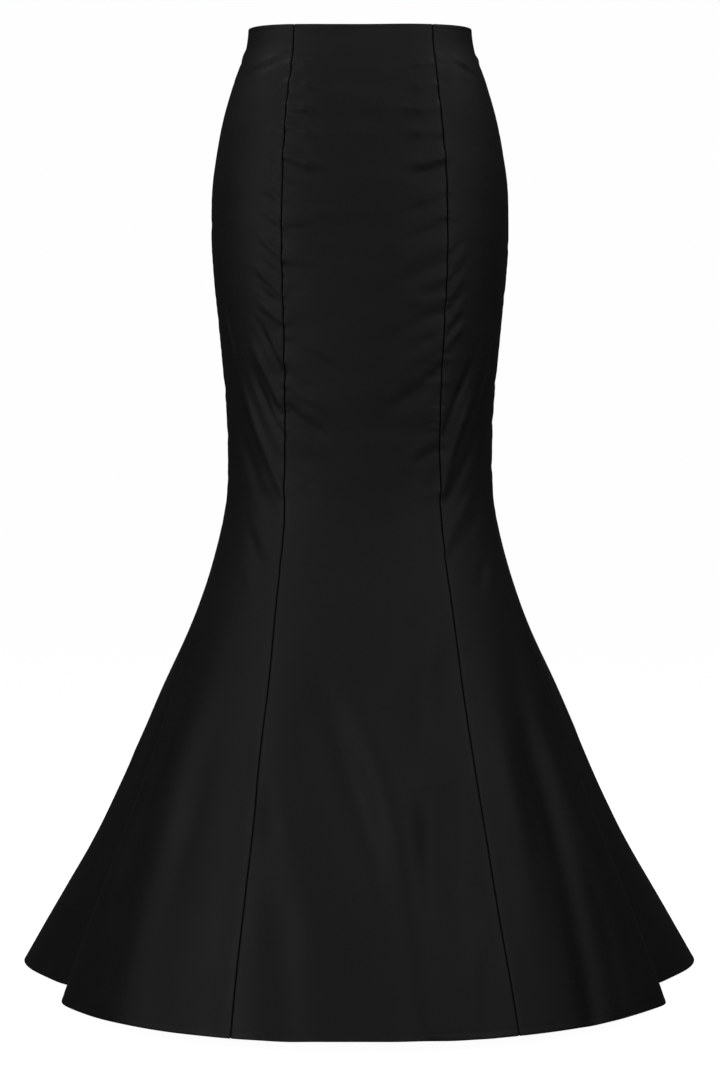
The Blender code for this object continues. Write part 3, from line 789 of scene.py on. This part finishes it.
def sateen():
    """Black cotton sateen: long floats along the grain, a soft sheen, pressed shiny at its edges."""
    made, nodes, links, shader = new_material("black_sateen")
    cut = nodes.new("ShaderNodeUVMap")
    cut.uv_map = "cut"

    def texture(size, stretch, detail):
        """Noise on the flat cut, with spots of a size in metres, drawn out along the grain."""
        along = nodes.new("ShaderNodeMapping")
        set_inputs(along, {"Scale": (1 / size, 1 / (size * stretch), 1)})
        grain = nodes.new("ShaderNodeTexNoise")
        grain.noise_dimensions = "2D"
        set_inputs(grain, {"Scale": 1, "Detail": detail})
        links.new(cut.outputs["UV"], along.inputs["Vector"])
        links.new(along.outputs["Vector"], grain.inputs["Vector"])
        return grain.outputs["Fac"]

    def ramp(factor, low, high, from_low, from_high):
        """A factor from one range to another."""
        made = nodes.new("ShaderNodeMapRange")
        set_inputs(made, {"From Min": from_low, "From Max": from_high, "To Min": low, "To Max": high})
        links.new(factor, made.inputs["Value"])
        return made.outputs["Result"]

    def combined(kind, a, b):
        """Two factors or numbers, added, multiplied or subtracted."""
        made = nodes.new("ShaderNodeMath")
        made.operation = kind
        for socket, value in zip(made.inputs, (a, b)):
            if isinstance(value, (int, float)):
                socket.default_value = value
            else:
                links.new(value, socket)
        return made.outputs[0]

    def marked(name):
        """A mark on the cloth's vertices."""
        mark = nodes.new("ShaderNodeAttribute")
        mark.attribute_name = name
        return mark.outputs["Fac"]

    floats = texture(0.00028, 5, 1)             # single floats of the warp
    slubs = texture(0.011, 0.06, 2)             # thicker weft yarns
    clouds = texture(0.0035, 1.4, 3)            # uneven dye and finish
    handling = texture(0.05, 1.6, 3)            # where the cloth was handled
    pressed = marked("pressed")
    # painted shade: deep in a seam, where two gores meet and hardly any light gets in, the sheen is turned
    # down
    sheen = combined("SUBTRACT", 0.5, combined("MULTIPLY", marked("painted_seam_shade"), 0.44))
    links.new(sheen, shader.inputs["Specular IOR Level"])
    tone = combined("ADD", ramp(floats, -0.2, 0.2, 0.3, 0.7), ramp(slubs, -0.12, 0.12, 0.3, 0.7))
    tone = combined("ADD", tone, ramp(clouds, -0.28, 0.28, 0.3, 0.7))
    tone = combined("ADD", tone, ramp(handling, -0.12, 0.12, 0.35, 0.65))
    tone = combined("ADD", tone, combined("MULTIPLY", pressed, 0.08))
    colour = nodes.new("ShaderNodeMix")
    colour.data_type = "RGBA"
    colour.inputs["A"].default_value = (0.007, 0.007, 0.0072, 1)
    colour.inputs["B"].default_value = (0.015, 0.015, 0.0153, 1)
    links.new(combined("ADD", tone, 0.45), colour.inputs["Factor"])
    links.new(colour.outputs["Result"], shader.inputs["Base Color"])
    gloss = combined("ADD", ramp(handling, 0.27, 0.31, 0.35, 0.65), ramp(clouds, 0.27, 0.33, 0.3, 0.7))
    gloss = combined("SUBTRACT", gloss, combined("MULTIPLY", pressed, 0.05))
    links.new(gloss, shader.inputs["Roughness"])
    height = combined("ADD", floats, combined("MULTIPLY", slubs, 0.5))
    weave = nodes.new("ShaderNodeBump")
    set_inputs(weave, {"Strength": 0.35, "Distance": 0.00006})
    links.new(height, weave.inputs["Height"])
    links.new(weave.outputs["Normal"], shader.inputs["Normal"])
    return made


cloth = sateen()
for gore in gore_objects:
    gore.data.materials.append(cloth)


# ------------------------ the rows of stitches
# Black polyester thread: the waist edge is stitched down all round, and so is the narrow hem. Each
# stitch is drawn into the cloth, and shows on its face and on the turned cloth inside.

STITCH_PITCH = 3.0 * MM
STITCH_SIZE = (1.2 * MM, 0.26 * MM, 0.2 * MM)       # half its length, width and height
STITCH_PROUD = 0.02 * MM                # its middle stands so far off the cloth
FIRST_STITCH = 1.6 * MM                 # from the seam
INSIDE = EDGE_TURN[-1][1] * MM          # from the cloth's face to the turned cloth inside


def smooth_mesh(name, corners, faces, material):
    """A mesh, shaded smooth and of a material."""
    mesh = bpy.data.meshes.new(name)
    mesh.from_pydata(corners, [], faces)
    mesh.shade_smooth()
    mesh.materials.append(material)
    return mesh


def joined_copies(name, model, spots, material):
    """One mesh of a model's copies, each at a spot: its place, the way it runs and the way it faces."""
    corners = places(model.data)
    faces = [tuple(face.vertices) for face in model.data.polygons]
    made, built = [], []
    for i, (place, run, facing) in enumerate(spots):
        facing = unit(facing - run * (facing @ run))
        axes = np.array([run, np.cross(facing, run), facing])
        made.append(corners @ axes + place)
        built += [tuple(i * len(corners) + corner for corner in face) for face in faces]
    return placed(name, smooth_mesh(name, np.concatenate(made).tolist(), built, material))


def spots_along(line, normals, pitch, start):
    """Spots at an even pitch along a line, each with the way it runs and the line's normal there."""
    steps = np.linalg.norm(np.diff(line, axis=0), axis=1)
    along = np.concatenate([[0], np.cumsum(steps)])
    stops = np.arange(start, along[-1] - start * 0.5, pitch)

    def at(values, where):
        return np.stack([np.interp(where, along, values[:, k]) for k in range(3)], axis=1)

    run = unit(at(line, stops + pitch * 0.3) - at(line, stops - pitch * 0.3))
    return list(zip(at(line, stops), run, unit(at(normals, stops))))


def woven(name, colour, size, roughness, strength=0.25):
    """A fine twisted, woven or moulded finish, with a grain of a size in metres."""
    made, nodes, links, shader = new_material(name)
    set_inputs(shader, {"Base Color": (*colour, 1), "Roughness": roughness})
    grain = nodes.new("ShaderNodeTexNoise")
    set_inputs(grain, {"Scale": 1 / size})
    raised = nodes.new("ShaderNodeBump")
    set_inputs(raised, {"Strength": strength, "Distance": size / 8})
    links.new(grain.outputs["Fac"], raised.inputs["Height"])
    links.new(raised.outputs["Normal"], shader.inputs["Normal"])
    return made


def quarter_turned(name, axis, scale):
    """The new primitive, named, turned a quarter round an axis, and scaled."""
    made = bpy.context.active_object
    made.name = name
    bpy.ops.transform.rotate(value=math.radians(90), orient_axis=axis, center_override=(0, 0, 0))
    bpy.ops.object.transform_apply(rotation=True)
    made.scale = scale
    bpy.ops.object.transform_apply(scale=True)
    return made


bpy.ops.object.select_all(action="DESELECT")
bpy.ops.mesh.primitive_uv_sphere_add(segments=6, ring_count=4, radius=1)
stitch = quarter_turned("stitch", "Y", STITCH_SIZE)
black_thread = woven("thread", (0.016, 0.016, 0.017), 0.0004, 0.42, strength=0.3)
for end, lines in stitch_lines.items():
    spots = []
    for line, normals in lines:
        for place, run, facing in spots_along(line, normals, STITCH_PITCH, FIRST_STITCH):
            spots.append((place + facing * STITCH_PROUD, run, facing))
            spots.append((place - facing * (INSIDE + STITCH_PROUD), run, -facing))
    row = joined_copies(end + "_stitches", stitch, spots, black_thread)
    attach(row, "skirt")
bpy.data.objects.remove(stitch)


# ------------------------ the zip at the centre back
# An invisible zip: two woven tapes stitched to the centre-back allowances, a nylon coil that hides
# behind the seam, and at its top a lacquered slider whose neck stands between the gores' edges.

TAPE_EDGE, TAPE_WIDTH = 2.4, 11.0       # across from the middle, in millimetres
TAPE_TOP, COIL_TOP, ZIP_END = 3.4, 23.4, 199.6      # drops
TAPE_FACE, LINK_DEPTH = 2.15, 3.15      # behind the cloth's face
TAPE_THICKNESS = 0.35
TAPE_ROWS, TAPE_COLUMNS = 66, 9
LINK_PITCH = 1.5                        # along one side
LINK_ASIDE = 0.75                       # links of the two sides take turns, so far from the middle


def behind_centre_back(across, drop, depth):
    """A place a few millimetres behind the cloth's face at the centre back, and the normal there."""
    middle, level = seen_from(180, 0, drop)
    level = np.array(level)
    return np.array(middle) - np.array((across, 0, 0)) * MM - level * depth * MM, level


tape_cloth = woven("zip_tape", (0.012, 0.012, 0.01236), 0.0004, 0.7)
for side, node in ((-1, "zip_tape_left"), (1, "zip_tape_right")):
    rows = np.linspace(TAPE_TOP, ZIP_END, TAPE_ROWS)
    columns = np.linspace(TAPE_EDGE + 0.02, TAPE_EDGE + TAPE_WIDTH - 0.02, TAPE_COLUMNS)
    made = [behind_centre_back(side * across, drop, TAPE_FACE)[0] for drop in rows for across in columns]
    corners = [i * TAPE_COLUMNS + j for i in range(TAPE_ROWS - 1) for j in range(TAPE_COLUMNS - 1)]
    faces = [(k, k + TAPE_COLUMNS, k + TAPE_COLUMNS + 1, k + 1)[::-side] for k in corners]
    tape = placed(node + "_cloth", smooth_mesh(node, made, faces, tape_cloth))
    thicken(tape, TAPE_THICKNESS)
    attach(tape, "skirt")
    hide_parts(node)

bpy.ops.object.select_all(action="DESELECT")
bpy.ops.mesh.primitive_torus_add(
    major_segments=10, minor_segments=5, major_radius=0.8 * MM, minor_radius=0.22 * MM)
link = quarter_turned("link", "X", (1.4, 1, 1.15))
nylon = woven("nylon", (0.014, 0.014, 0.01442), 0.0002, 0.35)
spots = []
for i in range(int((ZIP_END - COIL_TOP - 1) / LINK_PITCH * 2)):
    side = 1 if i % 2 else -1
    drop = COIL_TOP + 0.5 + i * LINK_PITCH / 2
    place, facing = behind_centre_back(side * LINK_ASIDE, drop, LINK_DEPTH)
    spots.append((place, np.array((1.0, 0, 0)), facing))
coil = joined_copies("zip_coil_links", link, spots, nylon)
bpy.data.objects.remove(link)
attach(coil, "skirt")
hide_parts("zip_coil")

lacquer = woven("black_lacquer", (0.01, 0.01, 0.0103), 0.0012, 0.25)
for node, body in (("zip_slider", "skirt"), ("zip_pull_tab", "pull_tab")):
    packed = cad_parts[node]
    part = packed.copy()
    part.data = packed.data.copy()
    part.name = node + "_lacquered"
    bpy.context.scene.collection.objects.link(part)
    only(part)
    bpy.ops.object.mode_set(mode="EDIT")
    bpy.ops.mesh.select_all(action="SELECT")
    bpy.ops.mesh.remove_doubles(threshold=0.01 * MM)
    bpy.ops.mesh.dissolve_limited(angle_limit=math.radians(1))
    bpy.ops.object.mode_set(mode="OBJECT")
    rounding = part.modifiers.new("rounding", "BEVEL")
    rounding.width = 0.2 * MM
    rounding.segments = 3
    rounding.limit_method = "ANGLE"
    rounding.angle_limit = math.radians(35)
    bpy.ops.object.modifier_apply(modifier=rounding.name)
    part.data.materials.clear()
    part.data.materials.append(lacquer)
    part.data.shade_smooth()
    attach(part, body)
    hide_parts(node)


# ------------------------ the room and the light
# A white paper floor just below the hem meets a white surround. Seven large soft boxes light the
# skirt, all aimed at its middle: two beside it, two high at the sides, one above, in front, behind.

FLOOR_BELOW = 12 * MM


def white_paper():
    made, _, _, shader = new_material("white_paper")
    set_inputs(shader, {
        "Base Color": (0.6, 0.6, 0.6, 1), "Roughness": 0.9, "Specular IOR Level": 0.1,
        "Emission Color": (1, 1, 1, 1), "Emission Strength": 0.97})
    return made


bpy.ops.mesh.primitive_circle_add(
    vertices=96, radius=40, fill_type="NGON", location=(0, 0, cad_box[0][2] - FLOOR_BELOW))
floor = bpy.context.active_object
floor.name = "floor"
floor.data.materials.append(white_paper())
floor.visible_diffuse = False
floor.visible_glossy = False


def studio_walls(seen, felt):
    """A white surround, as bright as seen to the eye and as felt on the cloth."""
    world = bpy.data.worlds.new("studio")
    world.use_nodes = True
    nodes, links = world.node_tree.nodes, world.node_tree.links
    dim, bright = nodes["Background"], nodes.new("ShaderNodeBackground")
    path = nodes.new("ShaderNodeLightPath")
    either = nodes.new("ShaderNodeMixShader")
    for back, strength in ((dim, felt), (bright, seen)):
        set_inputs(back, {"Color": (1, 1, 1, 1), "Strength": strength})
    links.new(path.outputs["Is Camera Ray"], either.inputs[0])
    links.new(dim.outputs[0], either.inputs[1])
    links.new(bright.outputs[0], either.inputs[2])
    links.new(either.outputs[0], nodes["World Output"].inputs["Surface"])
    bpy.context.scene.world = world


studio_walls(seen=0.99, felt=0.03)
LIGHTS_AIM = Vector((0, 0, -0.55))
LIGHT_AWAY = 3.3


def soft_light(name, bearing, height, size, power):
    """A soft box at a bearing, in degrees round from the front, and a height, in degrees too."""
    angle, rise = math.radians(bearing), math.radians(height)
    ahead = Vector((math.sin(angle) * math.cos(rise), -math.cos(angle) * math.cos(rise), math.sin(rise)))
    lamp = bpy.data.lights.new(name, "AREA")
    lamp.shape = "RECTANGLE"
    lamp.size, lamp.size_y = size
    lamp.energy = power
    made = placed(name, lamp)
    made.location = LIGHTS_AIM + ahead * LIGHT_AWAY
    made.rotation_euler = ahead.to_track_quat("Z", "Y").to_euler()
    made.visible_camera = False


soft_light("left_light", -50, 12, (1.1, 1.1), 10.5)
soft_light("right_light", 46, 18, (1.1, 1.1), 7.5)
soft_light("left_high_light", -88, 54, (1.0, 1.0), 8)
soft_light("right_high_light", 90, 52, (1.0, 1.0), 7)
soft_light("top_light", 5, 50, (1.2, 1.0), 5.5)
soft_light("front_light", -6, -8, (1.4, 1.0), 7)
soft_light("back_light", 178, 28, (1.2, 1.2), 18)


# ------------------------ the camera
# Level, at half the skirt's height, straight in front of it.

lens = bpy.data.cameras.new("camera")
lens.lens = 79.67
lens.sensor_width = 36
camera = placed("camera", lens)
camera.location = (0, -2.7, -0.5762)
camera.rotation_euler = (math.radians(90), 0, 0)
bpy.context.scene.camera = camera
bpy.context.scene.view_settings.view_transform = "Standard"
